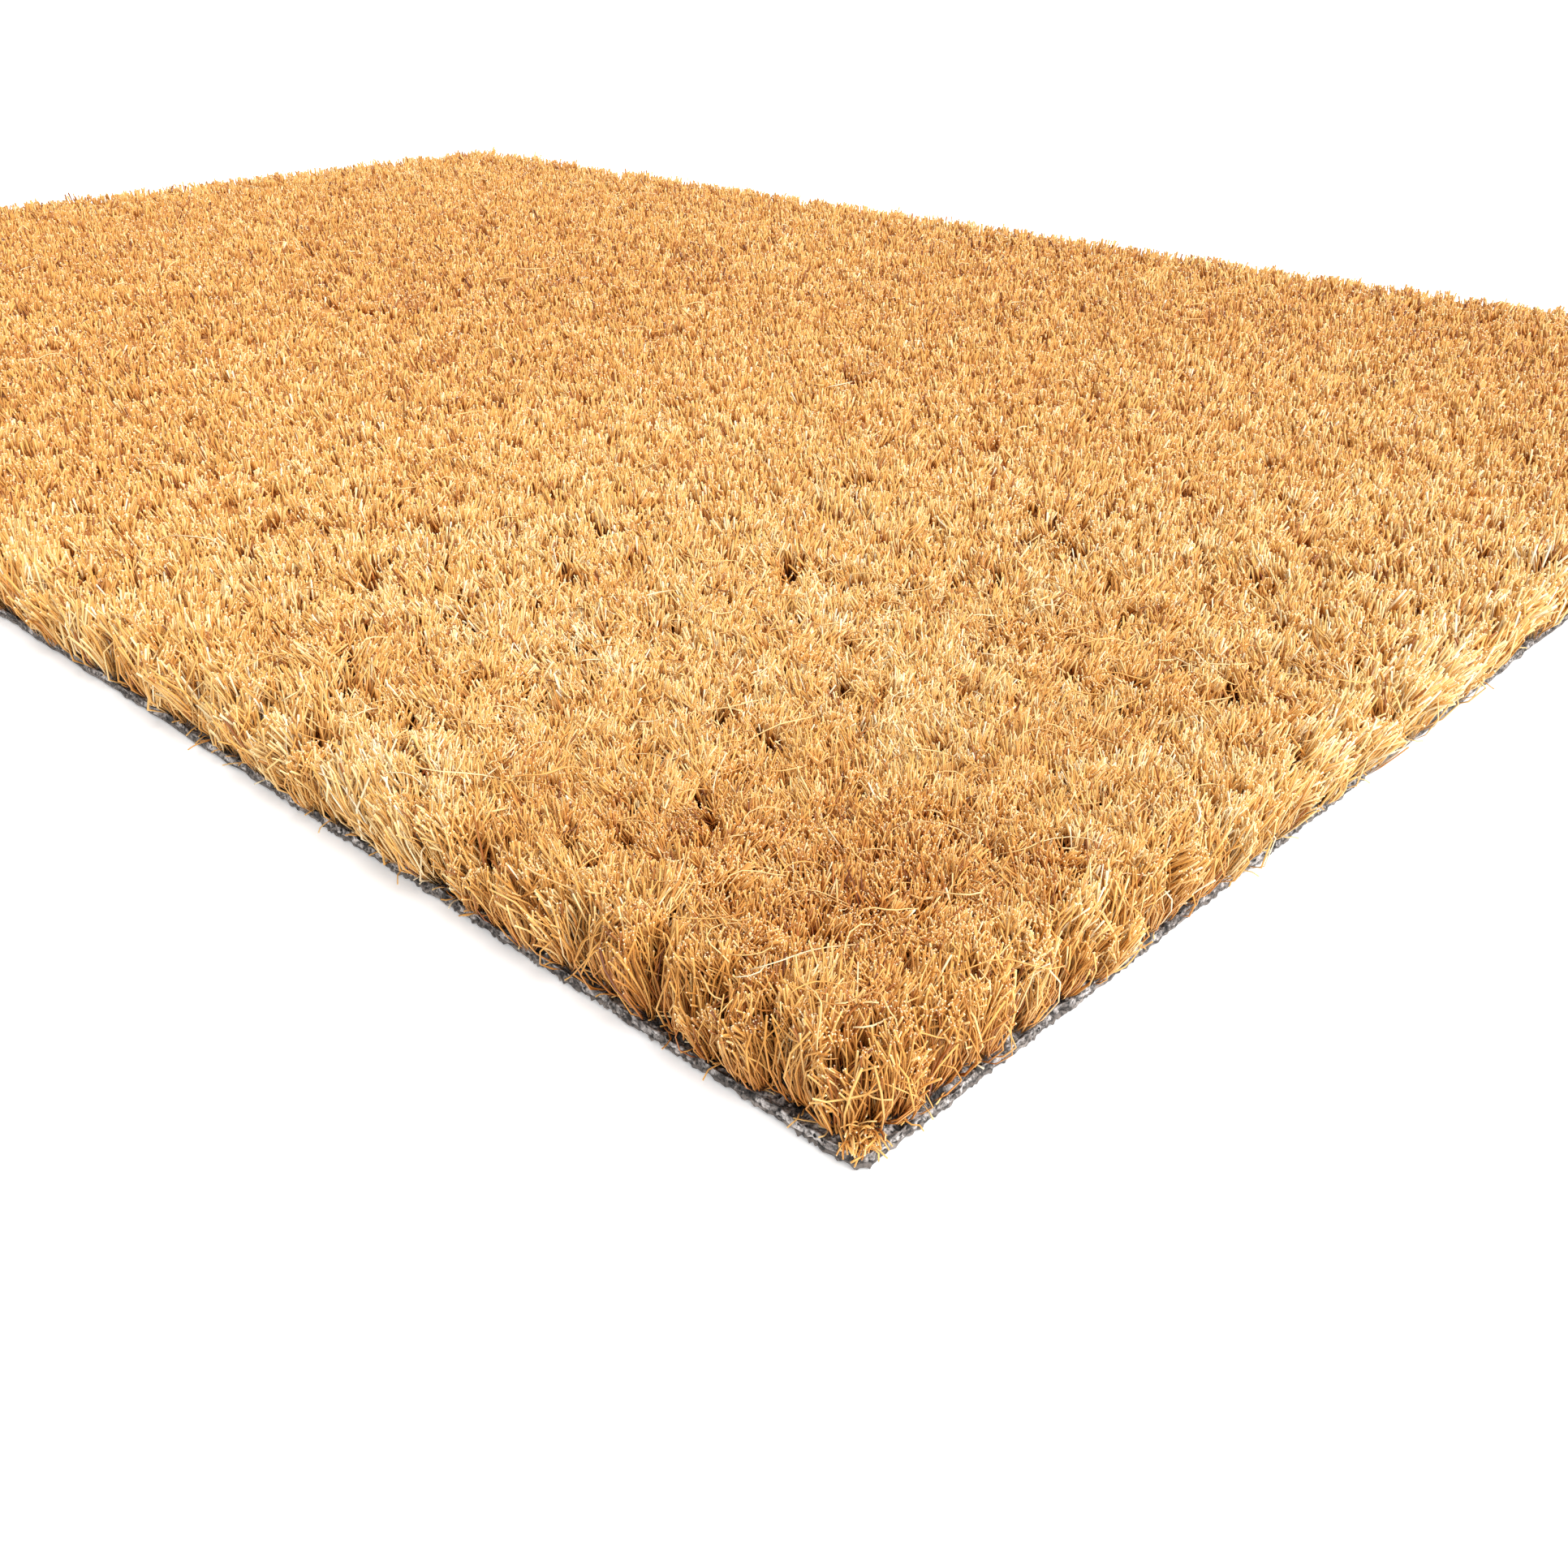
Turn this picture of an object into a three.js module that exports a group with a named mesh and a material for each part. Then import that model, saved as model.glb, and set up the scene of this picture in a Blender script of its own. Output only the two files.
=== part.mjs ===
// Coir door mat: a cut fibre pile standing in a two-layer PVC backing.
// Millimetres, +Z up. The origin is the middle of the underside, with X along the length.
import * as THREE from "three";

// Overall size.
const matLength = 600;
const matWidth = 400;
const matThickness = 17;

// Backing: a solid skin on the floor, with a foamed layer on it that holds the fibre roots.
const skinThickness = 1.0;
const foamThickness = 1.2;
const layerClearance = 0.3;
const backingCornerRadius = 2;

// Pile: set in from the backing's edge, with the top edge rounded by the shears.
const bareRim = 3;
const pileCornerRadius = 5;
const pileEdgeRound = 2.5;
const edgeRoundSteps = 5;

const cornerSteps = 6;

const foamBottom = skinThickness + layerClearance;
const foamTop = foamBottom + foamThickness;
const pileBottom = foamTop + layerClearance;

// The points of a rounded rectangle, anticlockwise from above, at one height.
function roundedRing(length, width, radius, z) {
  const ring = [];
  const corners = [
    [1, 1],
    [-1, 1],
    [-1, -1],
    [1, -1],
  ];
  corners.forEach(([sideX, sideY], quarter) => {
    const centreX = sideX * (length / 2 - radius);
    const centreY = sideY * (width / 2 - radius);
    for (let step = 0; step <= cornerSteps; step++) {
      const angle = (quarter + step / cornerSteps) * (Math.PI / 2);
      const x = centreX + radius * Math.cos(angle);
      const y = centreY + radius * Math.sin(angle);
      ring.push([x, y, z]);
    }
  });
  return ring;
}

// Faces of a flat cap, in strips across the mat from the +X end to the -X end.
function capFaces(start, count, facesUp) {
  const faces = [];
  for (let i = 0; 2 * i + 2 < count; i++) {
    const near = start + i;
    const far = start + count - 1 - i;
    faces.push([near, near + 1, far], [near + 1, far - 1, far]);
  }
  const turned = facesUp ? faces : faces.map(([a, b, c]) => [c, b, a]);
  return turned.flat();
}

// A closed solid through rings of equal point count, lowest first, capped flat at both ends.
function loft(rings) {
  const count = rings[0].length;
  const positions = rings.flat(2);
  const faces = [];
  for (let level = 0; level + 1 < rings.length; level++) {
    for (let i = 0; i < count; i++) {
      const next = (i + 1) % count;
      const low = level * count;
      const high = low + count;
      faces.push(low + i, low + next, high + next);
      faces.push(low + i, high + next, high + i);
    }
  }
  const topStart = (rings.length - 1) * count;
  faces.push(...capFaces(0, count, false), ...capFaces(topStart, count, true));
  const geometry = new THREE.BufferGeometry();
  geometry.setAttribute("position", new THREE.Float32BufferAttribute(positions, 3));
  geometry.setIndex(faces);
  geometry.computeVertexNormals();
  return geometry;
}

// One backing layer, a sheet cut to the mat's outline.
function backingLayer(bottom, thickness) {
  const outlineAt = (z) => roundedRing(matLength, matWidth, backingCornerRadius, z);
  return loft([outlineAt(bottom), outlineAt(bottom + thickness)]);
}

// The pile as a block with upright sides and a rounded top edge.
function pileBlock() {
  const length = matLength - 2 * bareRim;
  const width = matWidth - 2 * bareRim;
  const rings = [roundedRing(length, width, pileCornerRadius, pileBottom)];
  for (let step = 0; step <= edgeRoundSteps; step++) {
    const angle = (step / edgeRoundSteps) * (Math.PI / 2);
    const inset = pileEdgeRound * (1 - Math.cos(angle));
    const z = matThickness - pileEdgeRound * (1 - Math.sin(angle));
    const radius = pileCornerRadius - inset;
    rings.push(roundedRing(length - 2 * inset, width - 2 * inset, radius, z));
  }
  return loft(rings);
}

function piece(name, geometry, look) {
  const mesh = new THREE.Mesh(geometry, new THREE.MeshStandardMaterial(look));
  mesh.name = name;
  return mesh;
}

const darkPvc = { color: 0x55585c, roughness: 0.7, metalness: 0 };
const greyFoam = { color: 0x8f9093, roughness: 0.9, metalness: 0 };
const coir = { color: 0xc9924f, roughness: 0.95, metalness: 0 };

const mat = new THREE.Group();
mat.name = "coir_door_mat";
mat.add(piece("backing_skin", backingLayer(0, skinThickness), darkPvc));
mat.add(piece("backing_foam", backingLayer(foamBottom, foamThickness), greyFoam));
mat.add(piece("coir_pile", pileBlock(), coir));

export default mat;
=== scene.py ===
import math

import bpy
import numpy as np
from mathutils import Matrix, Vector


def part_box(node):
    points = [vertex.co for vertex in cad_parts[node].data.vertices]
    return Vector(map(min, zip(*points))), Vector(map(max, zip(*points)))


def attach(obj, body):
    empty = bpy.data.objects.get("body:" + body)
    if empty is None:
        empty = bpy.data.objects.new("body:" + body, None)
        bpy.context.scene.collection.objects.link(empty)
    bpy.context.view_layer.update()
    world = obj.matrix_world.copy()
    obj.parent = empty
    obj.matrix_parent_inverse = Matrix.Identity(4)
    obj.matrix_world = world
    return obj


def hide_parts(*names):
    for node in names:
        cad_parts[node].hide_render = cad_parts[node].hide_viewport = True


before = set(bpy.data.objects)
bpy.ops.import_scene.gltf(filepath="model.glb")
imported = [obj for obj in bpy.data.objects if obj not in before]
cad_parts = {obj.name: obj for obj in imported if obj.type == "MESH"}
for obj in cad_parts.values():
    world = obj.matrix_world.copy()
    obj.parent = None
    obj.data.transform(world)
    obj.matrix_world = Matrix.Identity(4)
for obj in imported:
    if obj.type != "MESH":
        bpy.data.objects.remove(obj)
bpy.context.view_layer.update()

skinLow, skinHigh = (np.array(c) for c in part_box("backing_skin"))
foamLow, foamHigh = (np.array(c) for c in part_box("backing_foam"))
pileLow, pileHigh = (np.array(c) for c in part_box("coir_pile"))
mm = 0.001
halfMat = skinHigh[:2]  # half the length and half the width
halfPile = pileHigh[:2]
nearCorner = np.array([halfMat[0], -halfMat[1]])  # the corner the camera looks at
print("mat", (2 * skinHigh[:2] / mm).round(1), "mm, top at", round(pileHigh[2] / mm, 1))


view = {
    "back": 122.2 * mm,  # level distance from the corner to the lens
    "left": 8.2 * mm,  # the lens stands this far left of the corner
    "height": 117 * mm,
    "heading": 133.54,  # degrees from +X, level
    "tilt": 29.35,  # degrees down
    "lens": 35.33,
    "sensor": 36.0,
    "nearest": 5 * mm,  # what the camera shows, from here
    "farthest": 60,
}


def setCamera(s):
    # Stands back from the near corner against the heading, and looks down by the tilt.
    heading, tilt = math.radians(s["heading"]), math.radians(s["tilt"])
    ahead = Vector((math.cos(heading), math.sin(heading), 0))
    left = Vector((-math.sin(heading), math.cos(heading), 0))
    place = Vector((*nearCorner, s["height"])) - ahead * s["back"] + left * s["left"]
    gaze = ahead * math.cos(tilt) - Vector((0, 0, math.sin(tilt)))
    data = bpy.data.cameras.new("camera")
    data.lens = s["lens"]
    data.sensor_width = s["sensor"]
    data.clip_start = s["nearest"]
    data.clip_end = s["farthest"]
    camera = bpy.data.objects.new("camera", data)
    camera.location = place
    camera.rotation_euler = gaze.to_track_quat("-Z", "Y").to_euler()
    bpy.context.scene.collection.objects.link(camera)
    bpy.context.scene.camera = camera
    return ahead, left


ahead, left = setCamera(view)


def smoothStep(x):
    # 3x^2 - 2x^3, held at 0 below 0 and at 1 above 1
    x = np.clip(x, 0, 1)
    return x * x * (3 - 2 * x)


def unit(v):
    return v / np.maximum(np.linalg.norm(v, axis=-1, keepdims=True), 1e-12)


latticeSize = 128  # cells before the random patches and pores repeat


def patches(x, y, cell, seed):
    # Random values from -1 to 1 on a square lattice of this cell, eased from one to the next.
    lattice = np.random.default_rng(seed).uniform(-1, 1, (latticeSize, latticeSize))
    gx, gy = np.floor(x / cell).astype(int), np.floor(y / cell).astype(int)
    fx, fy = smoothStep(x / cell - gx), smoothStep(y / cell - gy)
    at = lambda i, j: lattice[(gx + i) % latticeSize, (gy + j) % latticeSize]
    low = at(0, 0) * (1 - fx) + at(1, 0) * fx
    high = at(0, 1) * (1 - fx) + at(1, 1) * fx
    return low * (1 - fy) + high * fy


def layered(x, y, layers):
    # The sum of share * patches over the layers, each given as cell, share, seed.
    return sum(share * patches(x, y, cell, seed) for cell, share, seed in layers)


def pits(x, y, cell, seed):
    # 1 at the middle of a pore and 0 outside it. Each cell has one pore, of random place and size.
    rng = np.random.default_rng(seed)
    place = rng.uniform(0, 1, (latticeSize, latticeSize, 2))
    size = rng.uniform(0.0, 0.62, (latticeSize, latticeSize)) ** 1.3  # a share of the cell, mostly small
    gx, gy = np.floor(x / cell).astype(int), np.floor(y / cell).astype(int)
    deepest = np.zeros_like(x)
    for i in (-1, 0, 1):
        for j in (-1, 0, 1):
            cx, cy = (gx + i) % latticeSize, (gy + j) % latticeSize
            away = np.hypot(x / cell - gx - i - place[cx, cy, 0], y / cell - gy - j - place[cx, cy, 1])
            deepest = np.maximum(deepest, smoothStep(1.6 * (1 - away / (size[cx, cy] + 1e-6))))
    return deepest


def addMesh(name, points, triangles, slot, replaced, uv=None, marks=None):
    # One smooth piece from arrays. uv is its own map, and marks are values by point for its finish.
    mesh = bpy.data.meshes.new(name)
    mesh.vertices.add(len(points))
    mesh.vertices.foreach_set("co", points.astype(np.float32).ravel())
    mesh.loops.add(3 * len(triangles))
    mesh.loops.foreach_set("vertex_index", triangles.astype(np.int32).ravel())
    mesh.polygons.add(len(triangles))
    mesh.polygons.foreach_set("loop_start", np.arange(0, 3 * len(triangles), 3, dtype=np.int32))
    mesh.polygons.foreach_set("use_smooth", np.full(len(triangles), True))
    for key, values in (marks or {}).items():
        mesh.attributes.new(key, "FLOAT", "POINT").data.foreach_set("value", values.astype(np.float32))
    if uv is not None:
        mesh.uv_layers.new(name="OFBake").uv.foreach_set("vector", uv.astype(np.float32).ravel())
    mesh.update(calc_edges=True)
    piece = bpy.data.objects.new(name, mesh)
    bpy.context.scene.collection.objects.link(piece)
    mesh.materials.append(finishes[slot])
    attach(piece, "root")
    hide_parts(replaced)
    return piece


def node(tree, kind, **values):
    # A new shader node, with its settings and input values by name.
    made = tree.nodes.new(kind)
    for key, value in values.items():
        if hasattr(made, key):
            setattr(made, key, value)
        else:
            made.inputs[key.replace("_", " ")].default_value = value
    return made


def ramp(tree, stops, source):
    # A colour ramp over the source, with its stops as place, colour.
    made = tree.nodes.new("ShaderNodeValToRGB")
    band = made.color_ramp
    while len(band.elements) < len(stops):
        band.elements.new(0.5)
    for element, (place, colour) in zip(band.elements, stops):
        element.position = place
        element.color = (*colour, 1)
    tree.links.new(source, made.inputs[0])
    return made.outputs[0]


def mixed(tree, how, first, second, share):
    # A colour mix. Each of first, second and share is a socket or a plain value.
    made = tree.nodes.new("ShaderNodeMix")
    made.data_type = "RGBA"
    made.blend_type = how
    for socket, value in ((made.inputs[0], share), (made.inputs[6], first), (made.inputs[7], second)):
        if isinstance(value, bpy.types.NodeSocket):
            tree.links.new(value, socket)
        else:
            socket.default_value = value
    return made.outputs[2]


def newFinish(name):
    material = bpy.data.materials.new(name)
    material.use_nodes = True
    return material, material.node_tree, material.node_tree.nodes["Principled BSDF"]


black, white = (0, 0, 0), (1, 1, 1)


def fromScreen(red, green, blue):
    # A colour as seen on a screen, 0 to 255, as the linear light that the shader takes.
    c = np.array([red, green, blue]) / 255
    return tuple(np.where(c <= 0.04045, c / 12.92, ((c + 0.055) / 1.055) ** 2.4))


coirLook = {
    "tones": [  # from the darkest bristle to the palest
        (0.00, fromScreen(108, 50, 16)),
        (0.08, fromScreen(176, 106, 40)),
        (0.35, fromScreen(222, 161, 76)),
        (0.60, fromScreen(239, 189, 107)),
        (0.80, fromScreen(251, 223, 162)),
        (1.00, fromScreen(255, 246, 218)),
    ],
    # Painted shade along the bristle: darkest at the root, deep in the pile, and none at the tip.
    "paintedRootShade": [  # multiplies the tone along the bristle
        (0.00, fromScreen(84, 28, 5)),
        (0.30, fromScreen(160, 90, 36)),
        (0.58, fromScreen(231, 195, 150)),
        (0.84, white),
    ],
    "cutFrom": 0.966,  # where the cut end starts on the map
    # The cut end is painted pale as a highlight, where it faces up into the light.
    "cutEndHighlight": fromScreen(254, 238, 202),
    "cutHighlightShare": 0.7,
    "streakScale": (6, 240, 1),  # long along the bristle and narrow across it
    "streak": fromScreen(214, 200, 188),
    "streakShare": 0.8,
    "roughness": (0.4, 0.62),
}


def coirFinish(look):
    # On the bristle's own map, across is root to tip, the last 3% is the cut end, and up is the tone. The
    # root is painted dark as shade deep in the pile, and the cut end pale as a painted highlight.
    material, tree, shader = newFinish("coir")
    own = node(tree, "ShaderNodeUVMap", uv_map="OFBake")
    apart = node(tree, "ShaderNodeSeparateXYZ")
    tree.links.new(own.outputs[0], apart.inputs[0])
    along, tone = apart.outputs[0], apart.outputs[1]
    stretch = node(tree, "ShaderNodeMapping")
    stretch.inputs["Scale"].default_value = look["streakScale"]
    tree.links.new(own.outputs[0], stretch.inputs[0])
    streaks = node(tree, "ShaderNodeTexNoise", Scale=1.0, Detail=3.0, Roughness=0.6)
    tree.links.new(stretch.outputs[0], streaks.inputs["Vector"])
    base = ramp(tree, look["tones"], tone)
    # the tone times the painted root shade
    shaded = mixed(tree, "MULTIPLY", base, ramp(tree, look["paintedRootShade"], along), 1.0)
    worn = ramp(tree, [(0.3, look["streak"]), (0.6, white)], streaks.outputs[0])
    streaked = mixed(tree, "MULTIPLY", shaded, worn, look["streakShare"])
    # painted highlight on the cut end
    isCut = node(tree, "ShaderNodeMath", operation="GREATER_THAN")
    isCut.inputs[1].default_value = look["cutFrom"]
    tree.links.new(along, isCut.inputs[0])
    cutHighlightShare = node(tree, "ShaderNodeMath", operation="MULTIPLY")
    cutHighlightShare.inputs[1].default_value = look["cutHighlightShare"]
    tree.links.new(isCut.outputs[0], cutHighlightShare.inputs[0])
    colour = mixed(tree, "MIX", streaked, (*look["cutEndHighlight"], 1), cutHighlightShare.outputs[0])
    tree.links.new(colour, shader.inputs["Base Color"])
    rough = node(tree, "ShaderNodeMapRange")
    rough.inputs["To Min"].default_value, rough.inputs["To Max"].default_value = look["roughness"]
    tree.links.new(streaks.outputs[0], rough.inputs[0])
    tree.links.new(rough.outputs[0], shader.inputs["Roughness"])
    return material


feltLook = {
    # dark is painted shade, in the hollows between the tufts and near the corner; middle and pale are
    # where the matted pile stands higher.
    "dark": fromScreen(54, 20, 3),
    "middle": fromScreen(170, 106, 42),
    "pale": fromScreen(228, 176, 98),
    "streakTurn": 0.4,  # from X, and the other half of the streaks cross them
    "streakScale": (2600, 700, 900),
    "bump": 0.4 * mm,
    "roughness": 0.8,
}


def feltFinish(look):
    # The matted lower pile, with painted shade: dark between the tufts and near the corner, paler on the
    # lumps and far off, with short crossed streaks.
    material, tree, shader = newFinish("coir_felt")
    place = node(tree, "ShaderNodeTexCoord")
    # the lump attribute holds the slab's painted shade mark
    height = node(tree, "ShaderNodeAttribute", attribute_name="lump")
    streaks = []
    for turn in (look["streakTurn"], look["streakTurn"] + math.pi / 2):
        mapping = node(tree, "ShaderNodeMapping")
        mapping.inputs["Rotation"].default_value = (0, 0, turn)
        mapping.inputs["Scale"].default_value = look["streakScale"]
        tree.links.new(place.outputs["Object"], mapping.inputs[0])
        noise = node(tree, "ShaderNodeTexNoise", Scale=1.0, Detail=2.0)
        tree.links.new(mapping.outputs[0], noise.inputs["Vector"])
        streaks.append(noise.outputs[0])
    both = node(tree, "ShaderNodeMath", operation="MAXIMUM")
    tree.links.new(streaks[0], both.inputs[0])
    tree.links.new(streaks[1], both.inputs[1])
    level = node(tree, "ShaderNodeMath", operation="ADD")
    tree.links.new(both.outputs[0], level.inputs[0])
    tree.links.new(height.outputs["Fac"], level.inputs[1])
    stops = [(0.45, look["dark"]), (0.75, look["middle"]), (1.0, look["pale"])]
    colour = ramp(tree, stops, level.outputs[0])
    tree.links.new(colour, shader.inputs["Base Color"])
    bump = node(tree, "ShaderNodeBump", Strength=0.6, Distance=look["bump"])
    tree.links.new(both.outputs[0], bump.inputs["Height"])
    tree.links.new(bump.outputs[0], shader.inputs["Normal"])
    shader.inputs["Roughness"].default_value = look["roughness"]
    return material


foamLook = {
    "grey": fromScreen(126, 118, 113),
    "pale": fromScreen(226, 219, 215),
    "speck": fromScreen(232, 220, 208),
    # pore is painted shade: the dark inside the pores and the rim's pits.
    "pore": fromScreen(26, 22, 20),
    "poreSize": 0.8 * mm,
    "speckSize": 0.9 * mm,
    "bump": 0.4 * mm,
    "roughness": 0.85,
}


def foamFinish(look):
    # Grey, mottled lighter, with pale specks, clusters of pores painted dark as shade, the rim's pits
    # painted with the same shade, and a fine sponge grain.
    material, tree, shader = newFinish("grey_foam")
    place = node(tree, "ShaderNodeTexCoord").outputs["Object"]
    mottle = node(tree, "ShaderNodeTexNoise", Scale=420.0, Detail=6.0, Roughness=0.65)
    grain = node(tree, "ShaderNodeTexNoise", Scale=1900.0, Detail=3.0)
    specks = node(tree, "ShaderNodeTexVoronoi", Scale=1 / look["speckSize"])
    pores = node(tree, "ShaderNodeTexVoronoi", Scale=1 / look["poreSize"])
    clusters = node(tree, "ShaderNodeTexNoise", Scale=700.0, Detail=2.0)
    for texture in (mottle, grain, specks, pores, clusters):
        tree.links.new(place, texture.inputs["Vector"])
    # pit holds the depth of the rim's pits, which are painted dark as shade
    pit = node(tree, "ShaderNodeAttribute", attribute_name="pit").outputs["Fac"]
    base = ramp(tree, [
        (0.40, tuple(0.3 * c for c in look["grey"])),
        (0.48, look["grey"]),
        (0.62, look["pale"]),
    ], mottle.outputs[0])
    isSpeck = ramp(tree, [(0.10, (0.85,) * 3), (0.2, black)], specks.outputs["Distance"])
    speckled = mixed(tree, "MIX", base, (*look["speck"], 1), isSpeck)
    # pores painted dark as shade, in clusters
    holes = ramp(tree, [(0.24, white), (0.36, black)], pores.outputs["Distance"])
    group = ramp(tree, [(0.44, black), (0.54, white)], clusters.outputs[0])
    paintedPoreShade = mixed(tree, "MULTIPLY", holes, group, 1.0)
    pored = mixed(tree, "MIX", speckled, (*look["pore"], 1), paintedPoreShade)
    grainy = mixed(tree, "MULTIPLY", pored, ramp(tree, [
        (0.38, (0.22,) * 3),
        (0.48, (0.8,) * 3),
        (0.6, white),
    ], grain.outputs[0]), 1.0)
    paintedPitShade = ramp(tree, [(0.3, black), (0.9, (0.9,) * 3)], pit)
    pitted = mixed(tree, "MIX", grainy, (*look["pore"], 1), paintedPitShade)
    tree.links.new(pitted, shader.inputs["Base Color"])
    bump = node(tree, "ShaderNodeBump", Strength=1.0, Distance=look["bump"])
    tree.links.new(grain.outputs[0], bump.inputs["Height"])
    deeper = node(tree, "ShaderNodeBump", Strength=1.0, Distance=look["bump"])
    tree.links.new(pores.outputs["Distance"], deeper.inputs["Height"])
    tree.links.new(bump.outputs[0], deeper.inputs["Normal"])
    tree.links.new(deeper.outputs[0], shader.inputs["Normal"])
    shader.inputs["Roughness"].default_value = look["roughness"]
    return material


skinLook = {
    "grey": fromScreen(116, 107, 101),
    "worn": fromScreen(180, 170, 163),
    "bump": 0.2 * mm,
}


def skinFinish(look):
    # Denser PVC: dark grey with lighter rubbed patches and a fine moulded grain.
    material, tree, shader = newFinish("dark_pvc")
    place = node(tree, "ShaderNodeTexCoord").outputs["Object"]
    wear = node(tree, "ShaderNodeTexNoise", Scale=260.0, Detail=6.0, Roughness=0.6)
    grain = node(tree, "ShaderNodeTexNoise", Scale=1800.0, Detail=2.0)
    tree.links.new(place, wear.inputs["Vector"])
    tree.links.new(place, grain.inputs["Vector"])
    colour = ramp(tree, [
        (0.35, tuple(0.7 * c for c in look["grey"])),
        (0.5, look["grey"]),
        (0.72, look["worn"]),
    ], wear.outputs[0])
    grainy = mixed(tree, "MULTIPLY", colour, ramp(tree, [
        (0.4, (0.2,) * 3),
        (0.52, (0.85,) * 3),
        (0.64, white),
    ], grain.outputs[0]), 1.0)
    tree.links.new(grainy, shader.inputs["Base Color"])
    rough = ramp(tree, [(0.3, (0.5,) * 3), (0.7, (0.8,) * 3)], wear.outputs[0])
    tree.links.new(rough, shader.inputs["Roughness"])
    bump = node(tree, "ShaderNodeBump", Strength=0.5, Distance=look["bump"])
    tree.links.new(grain.outputs[0], bump.inputs["Height"])
    tree.links.new(bump.outputs[0], shader.inputs["Normal"])
    return material


finishes = {
    "coir": coirFinish(coirLook),
    "grey_foam": foamFinish(foamLook),
    "dark_pvc": skinFinish(skinLook),
}
feltMaterial = feltFinish(feltLook)
print("finishes", len(bpy.data.materials))


backing = {
    "cornerRadius": 2 * mm,
    "fineStep": 0.4 * mm,  # between points along the edge near the camera's corner
    "coarseStep": 2.2 * mm,
    "fineReach": 120 * mm,
}


def outlineLength(half, radius):
    # 4 (a + b) - (8 - 2 pi) r for a rounded rectangle of half sizes a and b
    return 4 * (half[0] + half[1]) - (8 - 2 * math.pi) * radius


def outlineAt(along, half, radius):
    # The rounded rectangle by distance round it, anticlockwise from the middle of the near corner's arc.
    # Its heading is straight or turns evenly by stretches, and the place is the heading summed up.
    arc = radius * math.pi / 2
    lengthwise, crosswise = 2 * (half - radius)
    lengths = [arc / 2, crosswise, arc, lengthwise, arc, crosswise, arc, lengthwise, arc / 2]
    turns = np.array([1, 0, 2, 0, 2, 0, 2, 0, 1]) * math.pi / 4
    ends = np.cumsum([0, *lengths])
    facings = np.cumsum([-math.pi / 4, *turns])
    facing = np.interp(along, ends, facings)
    out = np.stack([np.cos(facing), np.sin(facing)], 1)
    fine = np.linspace(0, ends[-1], 20001)
    heading = np.interp(fine, ends, facings)
    steps = np.stack([-np.sin(heading), np.cos(heading)], 1)
    travelled = (steps[1:] + steps[:-1]) / 2 * np.diff(fine)[:, None]
    track = np.cumsum(np.vstack([[0, 0], travelled]), 0)
    start = half * (1, -1) + radius * (1 - math.sqrt(0.5)) * np.array([-1, 1])
    place = start + np.stack([np.interp(along, fine, track[:, k]) for k in (0, 1)], 1)
    return place, out


def edgeStations(s):
    # Distances round the outline from the near corner, closer together there.
    length = outlineLength(halfMat, s["cornerRadius"])
    fine = np.arange(0, s["fineReach"], s["fineStep"])
    middle = np.arange(s["fineReach"], length - s["fineReach"], s["coarseStep"])
    return np.concatenate([fine, middle, length - fine[:0:-1]])


def ringSolid(rings):
    # Joins a stack of rings, from the inner one underneath round the edge to the inner one on top,
    # and closes both ends with zigzag caps.
    levels, count = rings.shape[:2]
    i = np.arange(count)
    after = (i + 1) % count
    low = (np.arange(levels - 1) * count)[:, None]
    walls = [
        np.stack([low + i, low + after, low + count + after], -1),
        np.stack([low + i, low + count + after, low + count + i], -1),
    ]
    near = np.arange((count - 1) // 2)
    far = count - 1 - near
    cap = np.concatenate([
        np.stack([near, near + 1, far], 1),
        np.stack([near + 1, far - 1, far], 1),
    ])
    cap = cap[(cap[:, 0] != cap[:, 1]) & (cap[:, 1] != cap[:, 2])]
    caps = [cap[:, ::-1], cap + (levels - 1) * count]
    return rings.reshape(-1, 3), np.concatenate([w.reshape(-1, 3) for w in walls] + caps)


rim = {
    "width": 10 * mm,  # the worked strip of foam round the edge, under the outermost tufts
    "step": 0.42 * mm,  # between rings on it
    "sideRings": 7,  # up the cut side
    "lumps": [(2.4 * mm, 0.4, 11), (0.9 * mm, 0.4, 12)],  # cell, share and seed of each layer
    "cutWaves": [(5 * mm, 0.45, 13), (1.6 * mm, 0.3, 14)],
    "cutGrain": [(0.6 * mm, 0.2, 15)],
    "largePores": 1.5 * mm,
    "smallPores": 0.8 * mm,
    "rounding": 0.8 * mm,  # from the cut side over to the top
    "cutReach": 1.2 * mm,  # how far in the cut's waves are felt
    "cutDepth": 0.6,  # the depths are in mm
    "poreDepth": 0.3,  # of pores in the cut side
    "bulge": 0.16,  # of the cut side
    "relief": 0.75,  # of lumps and pores on top
    "drop": 0.6,  # of the very edge, against the relief
}


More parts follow.
